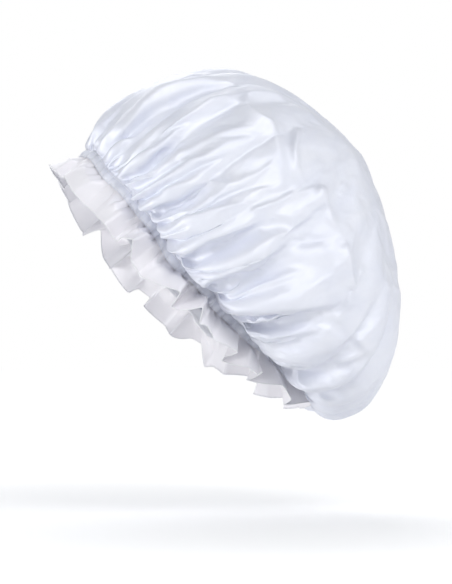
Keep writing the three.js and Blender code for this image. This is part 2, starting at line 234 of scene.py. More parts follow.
def finer(points, faces, *values):
    """One step of Loop subdivision; values go along by plain halving."""
    n = len(points)
    opposite = np.concatenate([faces[:, 2], faces[:, 0], faces[:, 1]])
    keys, index = np.unique(np.sort(sides_of(faces), 1), axis=0, return_inverse=True)
    index = index.reshape(-1)
    across = np.zeros((len(keys), 3))
    np.add.at(across, index, points[opposite])
    middle = (points[keys[:, 0]] + points[keys[:, 1]]) / 2
    inner = np.bincount(index, minlength=len(keys)) == 2
    new_mid = np.where(inner[:, None], 0.75 * middle + across / 8, middle)
    degree = np.bincount(keys.ravel(), minlength=n)
    around = np.zeros((n, 3))
    np.add.at(around, keys[:, 0], points[keys[:, 1]])
    np.add.at(around, keys[:, 1], points[keys[:, 0]])
    beta = np.where(degree == 3, 3 / 16, 3 / (8 * np.maximum(degree, 1)))
    moved = points * (1 - degree * beta)[:, None] + around * beta[:, None]
    rim = np.unique(keys[~inner])
    moved[rim] = points[rim]
    half = [np.concatenate([v, (v[keys[:, 0]] + v[keys[:, 1]]) / 2]) for v in values]
    m01, m12, m20 = np.split(n + index, 3)
    a, b, c = faces.T
    quarters = ((a, m01, m20), (m01, b, m12), (m20, m12, c), (m01, m12, m20))
    return np.concatenate([moved, new_mid]), np.concatenate([np.stack(t, 1) for t in quarters]), *half


# Smoothing, by how far a point lies off its neighbours as a share of their distance
SMOOTH_PASSES, SMOOTH_STEP = 6, 0.5
SMOOTH_LEAST, SMOOTH_MORE = 0.15, 0.8
BROKEN = (0.1, 0.35)
BROKEN_SPREAD = 2


def smoothed(points, faces):
    """Takes the jags off a mesh, most where it is most broken, and nearly keeps its size."""
    keys, uses = np.unique(np.sort(sides_of(faces), 1), axis=0, return_counts=True)
    rim = np.unique(keys[uses == 1])
    pairs = neighbours(faces)
    here, there = pairs
    spacing = mean_around(here, length(points[here] - points[there]))
    broken = length(mean_place(pairs, points) - points) / spacing
    for _ in range(BROKEN_SPREAD):
        broken = np.maximum(broken, mean_around(here, broken[there]))
    share = SMOOTH_LEAST + SMOOTH_MORE * ease(*BROKEN, broken)
    for step in range(2 * SMOOTH_PASSES):
        towards = SMOOTH_STEP if step % 2 == 0 else -SMOOTH_STEP
        moved = points + (mean_place(pairs, points) - points) * share[:, None] * towards
        moved[rim] = points[rim]
        points = moved
    return points


# Folds of the crown's near side: kind, height and half width in mm, line in the photograph
FOLDS = [
    ("ridge", 3.2, 5.0, [(112, 140), (120, 132), (144, 107), (164, 93), (191, 80), (224, 72)]),
    ("groove", 3.0, 4.5, [(168, 108), (184, 97), (206, 89), (238, 88)]),
    ("ridge", 2.8, 4.0, [(160, 140), (176, 124), (211, 102), (242, 93)]),
    ("groove", 2.0, 3.5, [(146, 150), (157, 138), (177, 121)]),
    ("tuck", 4.2, 5.0, [(140, 172), (149, 161), (157, 151), (175, 142)]),
    ("tuck", 2.6, 3.5, [(107, 172), (111, 165), (128, 139), (140, 125)]),
    ("tuck", 2.2, 3.0, [(101, 181), (113, 156), (122, 143)]),
    ("tuck", 5.0, 5.5, [(150, 211), (159, 206), (177, 202), (199, 188)]),
    ("ridge", 1.8, 4.0, [(160, 195), (176, 187), (197, 182), (222, 183), (246, 186)]),
    ("ridge", 1.0, 2.5, [(172, 162), (190, 160), (211, 158), (238, 151)]),
    ("ridge", 1.2, 3.0, [(170, 168), (177, 154), (184, 139)]),
    ("ridge", 2.2, 5.0, [(166, 225), (195, 218), (228, 208), (259, 199)]),
    ("ridge", 1.6, 3.5, [(244, 93), (266, 94), (290, 97)]),
    ("ridge", 2.2, 6.0, [(242, 95), (249, 110), (259, 117), (270, 123), (277, 144), (283, 164)]),
    ("ridge", 1.6, 3.0, [(297, 127), (295, 147), (296, 166), (303, 181)]),
    ("ridge", 1.8, 4.0, [(250, 212), (278, 203), (304, 192), (319, 185)]),
    ("ridge", 1.2, 3.0, [(284, 200), (294, 190), (303, 182)]),
    ("ridge", 2.4, 6.0, [(319, 185), (323, 204), (332, 223), (343, 238)]),
    ("tuck", 6.5, 7.0, [(180, 258), (189, 254), (208, 241), (236, 232), (263, 223)]),
    ("groove", 1.8, 6.0, [(263, 224), (292, 229), (332, 228)]),
    ("tuck", 7.5, 8.5, [(206, 286), (213, 280), (236, 272), (264, 260), (292, 241)]),
    ("groove", 2.4, 5.0, [(292, 241), (316, 240), (343, 242)]),
    ("tuck", 7.0, 8.0, [(216, 303), (235, 313), (264, 313), (306, 310), (347, 306)]),
    ("ridge", 2.4, 6.0, [(344, 240), (347, 266), (349, 293), (347, 307), (335, 321), (329, 332)]),
    ("groove", 1.5, 3.0, [(236, 324), (247, 321), (278, 326), (315, 329)]),
    ("ridge", 2.0, 4.5, [(242, 337), (264, 341), (287, 340), (315, 331)]),
    ("groove", 2.2, 4.5, [(272, 345), (292, 345), (312, 342)]),
    ("tuck", 3.0, 5.0, [(276, 369), (298, 365), (329, 364)]),
    ("tuck", 2.0, 3.0, [(336, 366), (355, 360), (371, 352)]),
    ("tuck", 4.0, 6.0, [(300, 391), (323, 389), (346, 387)]),
    ("ridge", 1.2, 6.0, [(351, 290), (358, 275), (365, 261)]),
    ("ridge", 1.8, 9.0, [(356, 346), (370, 331), (384, 315)]),
    ("ridge", 1.0, 3.0, [(339, 195), (343, 188), (347, 181)]),
    ("groove", 1.2, 5.0, [(352, 215), (362, 245), (366, 275)]),
]

# Their sections, as shares of a fold's height and half width
LIP_HEIGHT, LIP_WIDTH, LIP_HANG = 0.6, 1.5, 0.55
LIP_EDGE = 0.5  # how softly a lip turns into its valley, by the finest half width
VALLEY_WIDTH, VALLEY_POWER = 1.3, 1.5
RIDGE_PEAK, RIDGE_DIP, RIDGE_DIP_WIDTH = 1.7, 0.4, 3.0

# Where they fade: along a line, towards the outline, and towards the seam
FOLD_START, FOLD_END, FOLD_END_LOSS = (-0.02, 0.12), (0.55, 1.0), 0.85
FACING, FINE_FACING = (0.02, 0.3), 0.2
FOLD_EDGE, HANG_EDGE = (0.92, 0.99), (0.82, 0.94)
OTHER_SIDE_PIXELS, OTHER_SIDE_STRENGTH = (7, 5), 0.8  # how the far side's folds differ

# Finest half width in mm and strengths of the folds, on the settled mesh and on the finer one
COARSE, COARSE_STRENGTH = 4.0, 1.3
FINE, FINE_RIDGES, FINE_TUCKS = 2.0, 1.6, 0.35


def beside(at, line):
    """How far places lie beside a line of the photograph, in mm, and at which share of it."""
    line = np.array(line, float)
    nearest, along, side = np.full(len(at), np.inf), np.zeros(len(at)), np.zeros(len(at))
    lengths = length(np.diff(line, axis=0))
    before = np.concatenate([[0], np.cumsum(lengths)]) / lengths.sum()
    for i, (p, q) in enumerate(zip(line[:-1], line[1:])):
        d = (q - p) / lengths[i]
        t = np.clip((at - p) @ d, 0, lengths[i])
        away = at - p - t[:, None] * d
        gap = length(away)
        closer = gap < nearest
        nearest = np.where(closer, gap, nearest)
        along = np.where(closer, before[i] + t / lengths[i] * (before[i + 1] - before[i]), along)
        side = np.where(closer, np.sign(d[1] * away[:, 0] - d[0] * away[:, 1]), side)
    return nearest * side * PIXEL / MM, along


def fold_moves(points, faces, mirrored, kinds, finest):
    """How folds of some kinds move each point off the form, and how far their lips hang, in mm."""
    normals = normals_of(points, faces)
    flip = np.array([-1.0, 1, 1]) if mirrored else np.ones(3)
    at = pixels(points * flip) + (OTHER_SIDE_PIXELS if mirrored else (0, 0))
    towards = unit(EYE / MM - points * flip)
    seen = (normals * flip * towards).sum(1) - (FINE_FACING if finest < COARSE else 0)
    facing = ease(*FACING, seen)
    lift, hang = np.zeros(len(points)), np.zeros(len(points))
    for kind, height, width, line in FOLDS:
        if kind not in kinds:
            continue
        width = max(width, finest)
        off, along = beside(at, line)
        fade = facing * ease(*FOLD_START, along) * (1 - FOLD_END_LOSS * ease(*FOLD_END, along))
        if kind == "tuck":
            over = (1 + np.tanh(off / (2 * LIP_EDGE * finest))) / 2
            lip = LIP_HEIGHT * np.exp(-(off / (LIP_WIDTH * width)) ** 2)
            valley = -np.exp(-(np.abs(off) / (VALLEY_WIDTH * width)) ** VALLEY_POWER)
            lift += height * fade * (over * lip + (1 - over) * valley)
            hang += height * LIP_HANG * fade * over * np.exp(-(off / width) ** 2)
        elif kind == "ridge":
            dip = RIDGE_DIP * np.exp(-(off / (RIDGE_DIP_WIDTH * width)) ** 2)
            lift += height * fade * (RIDGE_PEAK * np.exp(-np.abs(off) / width) - dip)
        else:
            lift -= height * fade * np.exp(-(off / width) ** 2)
    return normals * lift[:, None], hang


def folded(points, faces, share, kinds, finest, strength):
    """Points with the photograph's folds, and weaker ones on the side it doesn't show."""
    for mirrored, part in ((False, strength), (True, OTHER_SIDE_STRENGTH * strength)):
        moves, hang = fold_moves(points, faces, mirrored, kinds, finest)
        moves = moves * (1 - ease(*FOLD_EDGE, share))[:, None]
        moves[:, 2] -= hang * (1 - ease(*HANG_EDGE, share))
        points = points + part * moves
    return points


# Crown: a flat oval of cloth, gathered onto the casing
CENTRE_SHIFT = 0.2  # how far the cloth's centre lies towards the nape, by a meridian
RINGS, SECTORS = 66, 8
MERIDIANS, MERIDIAN_STEPS = 192, 240
RIM = 0.9999  # from this share on, a place is on the upper seam
NORMAL_STEP = 2e-3
INSIDE = (0, 30, 40)  # a point inside the crown

# Turns of its main valleys on the camera's side, at the upper seam and at their upper end
VALLEYS = [(0.541, 0.535), (0.583, 0.577), (0.614, 0.612), (0.656, 0.663), (0.718, 0.728),
           (0.768, 0.761), (0.805, 0.843), (0.885, 0.882), (0.920, 0.917), (0.965, 0.965)]
OTHER_SIDE_SHIFT = 0.008
SLANT_END = 0.62  # the share of a meridian at that end

# Swells of the gathered cloth: sizes, and shares of the cloth over which they set in and end
SWELL_POWER, SWELL_HEIGHT, SWELL_DEPTH = 0.7, 2, 1.2
PLEAT_COUNT, PLEAT_SPREAD, PLEAT_SIZES = 80, 0.45, (0.45, 1.15)
GATHER_COUNT, GATHER_SPREAD = 44, 0.4
MAIN_IN, MAIN_OUT = (0.15, 0.6), (0.8, 1.0)
GATHER_IN, GATHER_OUT, GATHER_LOSS, GATHER_SIZE = (0.55, 0.85), (0.9, 1.0), 0.75, 0.5
PLEAT_IN, PLEAT_SIZE_AT_SEAM = (0.8, 1.0), 0.3
FIRST_RING = 3  # the innermost ring that is lifted into swells
SLACK = 0.97  # a ring's length over that of its flat cloth
MOST_TRIED, HALVINGS = 45.0, 24
MOST_LIFT, MOST_LIFT_AT_SEAM, LIFT_FALL = 16.0, 4.5, (0.93, 1.0)


def form_place(turn, s):
    """The turn and meridian of the form where a point of the cloth lies, by its own turn and share."""
    x = s * np.cos(2 * np.pi * turn) + CENTRE_SHIFT * (1 - s * s)
    y = s * np.sin(2 * np.pi * turn)
    edge = s > RIM
    meridian = np.where(edge, 1.0, np.minimum(1, np.hypot(x, y)))
    return np.where(edge, turn % 1, (np.arctan2(y, x) / (2 * np.pi)) % 1), meridian


def cloth_place(turn, s):
    return crown_form(*form_place(turn, s))


def disc(rings):
    """Turns and shares of a disc's points, its rings, and its faces."""
    turns, shares, members, first = [np.zeros(1)], [np.zeros(1)], [np.array([0])], 1
    for k in range(1, rings + 1):
        count = SECTORS * k
        turns.append(np.arange(count) / count)
        shares.append(np.full(count, k / rings))
        members.append(np.arange(first, first + count))
        first += count
    faces = []
    for k in range(1, rings + 1):
        a, b = members[k - 1], members[k]
        for sector in range(SECTORS):
            for j in range(k):
                here = a[((k - 1) * sector + j) % len(a)]
                b0, b1 = b[(k * sector + j) % len(b)], b[(k * sector + j + 1) % len(b)]
                faces.append((here, b0, b1))
                if j < k - 1:
                    faces.append((here, b1, a[((k - 1) * sector + j + 1) % len(a)]))
    return np.concatenate(turns), np.concatenate(shares), members, np.array(faces)


def uneven(count, spread):
    """Edges of a turn's parts, which differ in width."""
    widths = rng.uniform(1 - spread, 1 + spread, count)
    return np.concatenate([[0], np.cumsum(widths) / widths.sum()])


def swell(phase):
    """Rounded swells with a crease at each whole number, from -1.2 to 0.8."""
    return np.abs(np.sin(np.pi * phase)) ** SWELL_POWER * SWELL_HEIGHT - SWELL_DEPTH


def hoop(points):
    return length(points - np.roll(points, 1, axis=0)).sum()


PLEATS = uneven(PLEAT_COUNT, PLEAT_SPREAD)
PLEAT_SIZE = rng.uniform(*PLEAT_SIZES, len(PLEATS))


def pleat_phase(turn):
    """Which pleat of the casing a turn is in: whole numbers are slits."""
    return np.interp(turn % 1, PLEATS, np.arange(len(PLEATS)))


def pucker(turn):
    """The small pleats that the elastic draws along the casing."""
    phase = pleat_phase(turn)
    size = PLEAT_SIZE[np.floor(phase).astype(int)]
    return np.abs(np.sin(np.pi * phase)) * SWELL_HEIGHT * size - SWELL_DEPTH


def fold_phase(turn, meridian):
    """Which of the main swells a place of the form is in: whole numbers are valleys."""
    near = np.array(VALLEYS)
    both = np.concatenate([1 - near[::-1] - OTHER_SIDE_SHIFT, near])
    straight = 1 - ease(SLANT_END, 1.0, meridian)
    edges = both[:, 0] + (both[:, 1] - both[:, 0]) * straight[:, None]
    edges = np.concatenate([edges[:, -1:] - 1, edges, edges[:, :1] + 1], 1)
    number = np.arange(edges.shape[1])
    return np.array([np.interp(t, e, number) for t, e in zip(turn, edges)])


def along_meridians(turn, share):
    """Shares on the form of points evenly spaced on the cloth, and their meridians' lengths."""
    grid_turn, grid_s = np.meshgrid(np.arange(MERIDIANS) / MERIDIANS, np.linspace(0, 1, MERIDIAN_STEPS),
                                    indexing="ij")
    steps = length(np.diff(cloth_place(grid_turn, grid_s), axis=1))
    arcs = np.concatenate([np.zeros((MERIDIANS, 1)), np.cumsum(steps, axis=1)], 1)
    column = np.round(turn * MERIDIANS).astype(int) % MERIDIANS
    s = np.zeros(len(turn))
    for i in range(MERIDIANS):
        mine = column == i
        s[mine] = np.interp(share[mine] * arcs[i, -1], arcs[i], grid_s[0])
    ends = np.append(arcs[:, -1], arcs[0, -1])
    return s, np.interp(turn, np.arange(MERIDIANS + 1) / MERIDIANS, ends)


def form_normals(turn, s, points):
    e = NORMAL_STEP
    down = cloth_place(turn, np.clip(s + e, 0, 1)) - cloth_place(turn, np.clip(s - e, 0, 1))
    normal = unit(np.cross(down, cloth_place(turn + e, s) - cloth_place(turn - e, s)))
    normal[0] = (0, 0, 1)
    return normal * np.sign((normal * (points - INSIDE)).sum(1))[:, None]


def lift_to_length(points, moves, wanted):
    """How many times its moves give a ring the length wanted."""
    low, high = 0.0, MOST_TRIED
    for _ in range(HALVINGS):
        middle = (low + high) / 2
        if hoop(points + moves * middle) < wanted:
            low = middle
        else:
            high = middle
    return middle


def crown_start():
    """The gathered crown before it settles: points, form, flat places, shares, rim and faces."""
    turn, share, members, faces = disc(RINGS)
    s, reach = along_meridians(turn, share)
    s[members[-1]] = 1
    points = cloth_place(turn, s)
    normal = form_normals(turn, s, points)
    radius = share * reach
    angle = 2 * np.pi * turn
    flat = np.stack([-np.sin(angle) * radius, np.cos(angle) * radius, 0 * angle], -1)
    main = swell(fold_phase(*form_place(turn, s)))
    edges = uneven(GATHER_COUNT, GATHER_SPREAD)
    gathers = swell(np.interp(turn, edges, np.arange(len(edges))))
    pleats = pucker(turn)
    lift = np.zeros(len(turn))
    for k in range(FIRST_RING, RINGS + 1):
        ring, at = members[k], k / RINGS
        gathered = ease(*GATHER_IN, at) * (1 - GATHER_LOSS * ease(*GATHER_OUT, at)) * GATHER_SIZE
        shape = ((1 - ease(*MAIN_OUT, at)) * ease(*MAIN_IN, at) * main[ring]
                 + gathered * gathers[ring]
                 + ease(*PLEAT_IN, at) * PLEAT_SIZE_AT_SEAM * pleats[ring])
        wanted = lift_to_length(points[ring], normal[ring] * shape[:, None], SLACK * hoop(flat[ring]))
        most = MOST_LIFT + (MOST_LIFT_AT_SEAM - MOST_LIFT) * ease(*LIFT_FALL, at)
        lift[ring] = min(wanted, most) * shape
    return tilted(points + normal * lift[:, None]), tilted(points), flat, share, members[-1], faces


# Settling of the crown's cloth on a stand-in for the head and hair, with sizes in mm
SIM_SCALE = 0.01  # the simulation's units for a millimetre
SIM_FRAMES = 46
HEAD_AT, HEAD_RADII = (0, 2, 50), (73, 91, 86)
HEAD_SEGMENTS, HEAD_RINGS = 48, 32


def settle(points, flat, pinned, faces):
    """The cloth's points after it has settled under its weight."""
    mesh = bpy.data.meshes.new("settling")
    mesh.from_pydata((points * SIM_SCALE).tolist(), [], faces.tolist())
    cloth = bpy.data.objects.new("settling", mesh)
    scene.collection.objects.link(cloth)
    cloth.shape_key_add(name="start")
    key = cloth.shape_key_add(name="flat")
    key.data.foreach_set("co", (flat * SIM_SCALE).astype(np.float32).ravel())
    cloth.vertex_groups.new(name="pin").add(pinned.tolist(), 1.0, "REPLACE")
    modifier = cloth.modifiers.new("cloth", "CLOTH")
    s = modifier.settings
    s.quality, s.mass, s.air_damping = 7, 0.1, 2.0
    s.tension_stiffness = s.compression_stiffness = 120
    s.shear_stiffness, s.bending_stiffness = 30, 0.012
    s.tension_damping = s.compression_damping = 10
    s.shear_damping, s.bending_damping = 8, 0.5
    s.vertex_group_mass = "pin"
    s.rest_shape_key = key
    s.use_pressure, s.uniform_pressure_force = True, 0.3
    s.effector_weights.gravity = 0.4
    c = modifier.collision_settings
    c.use_collision, c.distance_min, c.collision_quality = True, 0.02, 2
    c.use_self_collision, c.self_distance_min, c.self_friction = True, 0.01, 2
    modifier.point_cache.frame_start, modifier.point_cache.frame_end = 1, SIM_FRAMES
    bpy.ops.mesh.primitive_uv_sphere_add(segments=HEAD_SEGMENTS, ring_count=HEAD_RINGS, radius=1,
                                         location=[v * SIM_SCALE for v in HEAD_AT])
    head = bpy.context.object
    head.scale = [v * SIM_SCALE for v in HEAD_RADII]
    head.modifiers.new("collision", "COLLISION")
    head.collision.thickness_outer, head.collision.cloth_friction = 0.01, 6
    scene.frame_start, scene.frame_end = 1, SIM_FRAMES
    for step in range(1, SIM_FRAMES + 1):
        scene.frame_set(step)
    settled = cloth.evaluated_get(bpy.context.evaluated_depsgraph_get()).data
    out = np.zeros(len(points) * 3, np.float32)
    settled.vertices.foreach_get("co", out)
    scene.frame_set(1)
    for o in (cloth, head):
        mesh = o.data
        bpy.data.objects.remove(o)
        bpy.data.meshes.remove(mesh)
    return out.reshape(-1, 3).astype(float) / SIM_SCALE


# What is kept of the settled crown: the swells that these passes smooth away, at a share of their relief
HOLD_PASSES = 70
RELIEF_AT = [0.03, 0.12, 0.35, 0.75, 0.92, 1.0]  # shares of the cloth, from its centre to the seam
RELIEF = [0.0, 0.45, 0.45, 0.6, 0.75, 1.0]


def hold_form(points, form, faces, rim):
    """Takes the widest swells and sags off a settled cloth."""
    pairs = neighbours(faces)
    moved = points - form
    for _ in range(HOLD_PASSES):
        moved = mean_place(pairs, moved)
        moved[rim] = 0
    return points - moved


# Facets and slits of the crown, in mm
FACET_HEIGHT, FACET_WAVE, FACET_EDGE = 0.7, 52.0, (0.93, 0.99)
FACET_LAYERS, FACET_SIZES, FACET_RANGE = 7, (0.7, 1.5), 3
BACK, BACK_SMOOTHNESS = (60, 120), 0.7  # the back of the crown is smoother
SLIT_LEAST, SLIT_MORE, SLIT_REACH = 1.0, 5.0, (8, 26)
SLIT_WIDTH, SLIT_END = 0.15, (0.25, 1.0)  # as shares of a pleat and of a slit's reach
SLIT_EDGE, SLIT_TOP = (1.0, 0.985), 0.5  # shares of the cloth between which they lie


def facets(places):
    """Flat facets with creases between them, about -1 to 1."""
    total = np.zeros(len(places))
    for _ in range(FACET_LAYERS):
        angle, phase, size = rng.uniform(0, np.pi), rng.uniform(0, 1), rng.uniform(*FACET_SIZES)
        along = places[:, 0] * math.cos(angle) + places[:, 1] * math.sin(angle)
        along = along / (FACET_WAVE * size) + phase
        total += 4 * np.abs(along - np.floor(along + 0.5)) - 1
    return total / FACET_RANGE


def gather_slits(turn, from_seam):
    """Depth of the small slits between the pleats above the upper seam, in mm."""
    phase = pleat_phase(turn)
    number = np.round(phase).astype(int) % (len(PLEATS) - 1)
    depth = SLIT_LEAST + SLIT_MORE * rng.uniform(0, 1, len(PLEATS)) ** 2
    reach = rng.uniform(*SLIT_REACH, len(PLEATS))
    across = np.abs(phase - np.round(phase))
    section = np.exp(-(across / SLIT_WIDTH) ** 2)
    return depth[number] * section * (1 - ease(*SLIT_END, from_seam / reach[number]))


def turn_of(flat):
    """The turn at which a flat place of the crown meets the casing."""
    return (np.arctan2(-flat[:, 0], flat[:, 1]) / (2 * np.pi)) % 1


# The crown's edge over the tunnel, down to its raw edge: height, distance out, share of the pleats
STITCH_PUCKER = 0.75  # how much of the pleats the stitches leave
CASING_PROFILE = [(-0.6, 2.6, 1.0), (UPPER_STITCHES, STITCH_OUT, STITCH_PUCKER), (-2.0, 2.7, 1.0),
                  (-3.0, 2.85, 1.0), (-4.0, 2.9, 1.0), (-5.0, 2.85, 1.0), (-6.0, 2.7, 1.0),
                  (LOWER_STITCHES, STITCH_OUT, STITCH_PUCKER), (-7.4, 2.5, 1.0), (-SEAM_SPACING, 2.5, 1.0)]
CASING_STEP = 1.1  # cloth between two rows of that profile
NAPE_FLAT, NAPE_PLEATS = (0.015, 0.03), 0.15  # turns from the nape, and the pleats' height there


def casing_rows(rim_turn):
    """Rows of the crown's cloth over the tunnel."""
    flat_at_nape = ease(*NAPE_FLAT, 0.5 - np.abs(rim_turn % 1 - 0.5))
    small = pucker(rim_turn) * (NAPE_PLEATS + (1 - NAPE_PLEATS) * flat_at_nape)
    return [tilted(edge_point(rim_turn, out + ripple * small, height))
            for height, out, ripple in CASING_PROFILE]


def crown_surface():
    """The crown's cloth above the upper seam: points, faces, flat places and shares."""
    points, form, flat, share, rim, faces = crown_start()
    points = settle(points, flat, rim, faces)
    points = hold_form(points, form, faces, rim)
    points = form + (points - form) * np.interp(share, RELIEF_AT, RELIEF)[:, None]
    if (normals_of(points, faces) * (points - points.mean(0))).sum() < 0:
        faces = faces[:, ::-1]
    points = folded(points, faces, share, ("tuck", "groove"), COARSE, COARSE_STRENGTH)
    points, faces, flat, share = finer(points, faces, flat, share)
    points = folded(points, faces, share, ("ridge",), FINE, FINE_RIDGES)
    points = folded(points, faces, share, ("tuck",), FINE, FINE_TUCKS)
    normals = normals_of(points, faces)
    height = FACET_HEIGHT * (1 - BACK_SMOOTHNESS * ease(*BACK, points[:, 1]))
    points = points + normals * (height * facets(flat) * (1 - ease(*FACET_EDGE, share)))[:, None]
    points = smoothed(points, faces)
    from_seam = (1 - share) * length(flat) / np.maximum(share, SLIT_TOP)
    from_seam[share < SLIT_TOP] = np.inf
    slits = gather_slits(turn_of(flat), from_seam)
    points -= normals * (slits * ease(*SLIT_EDGE, share))[:, None]
    return points, faces, flat, share


def make_crown():
    points, faces, flat, share = crown_surface()
    rim = np.flatnonzero(share > 1 - TINY)
    rim = rim[np.argsort(turn_of(flat[rim]))]
    rows = casing_rows(turn_of(flat[rim]))
    index = [rim] + row_numbers(rows, len(rim), len(points))
    outward = unit(flat[rim])
    places = [flat] + [flat[rim] + outward * CASING_STEP * (i + 1) for i in range(len(rows))]
    faces = np.concatenate([faces, rows_faces(index)])
    made = add_piece("crown_cloth", "crown", np.concatenate([points, *rows]), faces,
                     np.concatenate(places))
    return made


# Frill: a strip of thinner satin, creased into uneven box-like flutes
FRILL_WIDTH, FRILL_OUT = 24.0, 1.5
FRILL_ROWS, ROW_SKEW = 22, 0.8  # below 1, rows are wider apart near the seam
FRILL_RAW_EDGE = [-0.08, -0.03]  # rows of its raw edge, between the crown's edge and the tape
FLUTES, FLUTE_SPREAD = 19, 0.5
FLUTE_DEPTH, FLUTE_DEPTH_FRONT = 13.0, 8.0
FLARE_SIDE, FLARE_FRONT, FLARE_NAPE = 16.0, 2.0, 52.0
CREASES = np.array([0.05, 0.34, 0.68, 0.95])  # a flute's foot, shoulders and foot, as shares of its width
CRESTS, LEANS = [0, 1, 1, 0], [1, -1, 1, -1]  # whether each is a shoulder, and the way it shifts
CREASE_STRAY, CREASE_SHIFT = 0.05, 5.0
SHOULDER_LIFT, FOOT_LIFT = (0.6, 1.3), (-0.15, 0.2)
FLARE_STRAY, FLARE_CALM = (-25, 40), 0.7  # degrees, and the share lost at brow and nape
HEM_CURL = (-2.0, 3.0)
PANEL_COLUMNS, CREASE_ROUNDING = 18, 2
OPEN_SOON, OPEN_BY = 0.6, 0.4  # the share of a flute's depth that opens early, and by where
ROOT_PUCKER, ROOT_PUCKER_END = 1.5, 0.75


def over_columns(values, rise=0.0):
    """Values at each crease, spread over the frill's columns, with rounded creases."""
    phase = np.arange(len(values) * PANEL_COLUMNS) / PANEL_COLUMNS
    spread = np.interp(phase, np.arange(len(values) + 1), np.append(values, values[0] + rise))
    even = rise * phase / len(values)
    shifts = range(-CREASE_ROUNDING, CREASE_ROUNDING + 1)
    return sum(np.roll(spread - even, k) for k in shifts) / len(shifts) + even


def crease_values():
    """Turn, lift, sideways shift, flare and curl at each of the frill's columns."""
    edges = uneven(FLUTES, FLUTE_SPREAD)
    count = FLUTES * len(CREASES)
    stray = rng.uniform(-CREASE_STRAY, CREASE_STRAY, (FLUTES, len(CREASES)))
    turn = edges[:-1, None] + np.diff(edges)[:, None] * (CREASES + stray)
    shoulder, foot = rng.uniform(*SHOULDER_LIFT, count), rng.uniform(*FOOT_LIFT, count)
    lift = np.where(np.tile(CRESTS, FLUTES), shoulder, foot)
    shift = np.tile(LEANS, FLUTES) * rng.uniform(0, CREASE_SHIFT, count)
    flare = rng.uniform(*FLARE_STRAY, count)
    curl = rng.uniform(*HEM_CURL, count)
    return over_columns(turn.ravel(), 1.0), *(over_columns(v) for v in (lift, shift, flare, curl))


def frill_row(values, share):
    """A row of the frill at a share of its width, from the seam to the hem."""
    turn, lift, shift, spread, curl = values
    backward = np.cos(2 * np.pi * turn)
    flare = np.where(backward > 0, FLARE_NAPE, FLARE_FRONT) - FLARE_SIDE
    flare = np.radians(FLARE_SIDE + flare * backward ** 2 + spread * (1 - FLARE_CALM * backward ** 2))
    forward = np.maximum(0, -backward) ** 2
    depth = FLUTE_DEPTH + (FLUTE_DEPTH_FRONT - FLUTE_DEPTH) * forward
    opened = OPEN_SOON * ease(0.0, OPEN_BY, share) + (1 - OPEN_SOON) * share
    root_pleats = ROOT_PUCKER * pucker(turn) * (1 - ease(0.0, ROOT_PUCKER_END, share))
    lift = depth * opened * lift + curl * share ** 2 + root_pleats
    fall = FRILL_WIDTH * share
    root = edge_point(turn, FRILL_OUT, -SEAM_SPACING)
    out = unit(root * (1, 1, 0))
    along = np.stack([-out[..., 1], out[..., 0], 0 * turn], -1)
    up = np.array([0, 0, 1.0])
    return (root + out * (fall * np.sin(flare) + lift * np.cos(flare))[..., None]
            + along * (shift * opened)[..., None]
            + up * (lift * np.sin(flare) - fall * np.cos(flare))[..., None])


def make_frill():
    """The frill, and the line of its hem."""
    values = crease_values()
    shares = np.linspace(0, 1, FRILL_ROWS) ** ROW_SKEW
    rows = [frill_row(values, 0.0) - (0, 0, s * FRILL_WIDTH) for s in FRILL_RAW_EDGE]
    rows += [frill_row(values, s) for s in shares]
    columns = len(values[0])
    hem = rows[-1]
    lengths = length(np.roll(hem, -1, axis=0) - hem)
    run = np.concatenate([[0], np.cumsum(lengths)[:-1]])
    places = [np.stack([run, np.full(columns, s * FRILL_WIDTH)], 1) for s in [*FRILL_RAW_EDGE, *shares]]
    made = add_piece("frill_cloth", "frill", tilted(np.concatenate(rows)),
                     rows_faces(row_numbers(rows, columns)), np.concatenate(places))
    return made, hem


# Threads: the overlocked hem, and the stitches of the two seams
HEM_RADIUS, HEM_STEP, HEM_SIDES, HEM_PITCH = 0.5, 0.45, 8, 1.5
HEM_CORE, HEM_GROOVE = 0.82, 0.18  # shares of the radius
STITCH_LENGTH, THREAD_RADIUS, THREAD_SIDES = 2.4, 0.2, 6
STITCH_REACH = 0.46  # half of a stitch, as a share of its length
STITCH_TAPER = [0.6, 0.95, 1, 1, 1, 0.95, 0.6]
STITCH_SINK = 0.55  # how far its ends go into the cloth, as a share of its arch
STITCH_STRAY, STITCH_STRAYS = 0.12, 20
NEEDLE_ARCH, BOBBIN_ARCH, BOBBIN_OUT = 0.18, -0.25, -0.1


def across(ahead):
    """Two directions across a run."""
    ahead = unit(ahead)
    first = unit(np.cross(ahead, (0, 0, 1.0)))
    return first, np.cross(ahead, first)


def hem_bead(hem):
    """The overlocked hem: a bead whose stitches wind round the frill's edge."""
    closed = np.concatenate([hem, hem[:1]])
    run = np.concatenate([[0], np.cumsum(length(np.diff(closed, axis=0)))])
    count = int(run[-1] / HEM_STEP)
    at = np.arange(count) / count * run[-1]
    centre = np.stack([np.interp(at, run, closed[:, i]) for i in range(3)], 1)
    first, second = across(np.roll(centre, -2, axis=0) - np.roll(centre, 2, axis=0))
    angle = 2 * np.pi * np.arange(HEM_SIDES) / HEM_SIDES
    turns = np.round(run[-1] / HEM_PITCH) * 2 * np.pi * at / run[-1]
    radius = HEM_RADIUS * (HEM_CORE + HEM_GROOVE * np.cos(angle[None, :] - turns[:, None]))
    ring = (centre[:, None] + first[:, None] * (radius * np.cos(angle))[..., None]
            + second[:, None] * (radius * np.sin(angle))[..., None])
    index = np.arange(count * HEM_SIDES).reshape(count, HEM_SIDES)
    faces = rows_faces(np.concatenate([index, index[:1]]))
    places = np.stack([np.repeat(at, HEM_SIDES), np.tile(angle, count)], 1)
    points = tilted(ring.reshape(-1, 3))
    return add_piece("frill_hem_overlock", "frill_hem_thread", points, faces, places)


